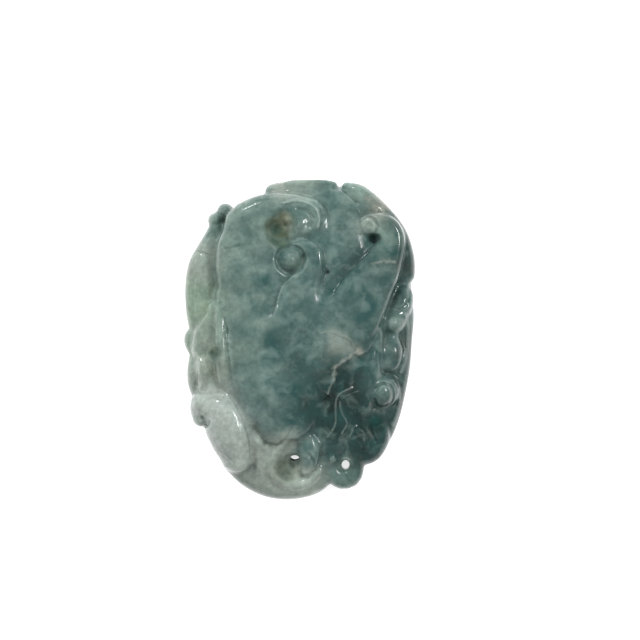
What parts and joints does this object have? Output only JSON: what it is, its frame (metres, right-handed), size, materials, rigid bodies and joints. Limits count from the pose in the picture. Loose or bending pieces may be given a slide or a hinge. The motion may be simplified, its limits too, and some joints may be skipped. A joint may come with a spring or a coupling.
{
  "type": "buddha hand pendant",
  "caption": "Flat-backed oval stone pendant carved in relief as a Buddha's hand citron with curling fingers, leaves and a drilled cord hole.",
  "frame": {"origin": "under the middle of the stone's bounding box, on the flat back that it lies on", "axes": "+X to the right of the carved face, +Y to its top where the finger tips are, +Z out of the carved face"},
  "size_m": [0.0372, 0.0512, 0.013],
  "materials": {
    "jade": "polished"
  },
  "bodies": {
    "root": {"carved_jade": "jade"}
  },
  "joints": []
}
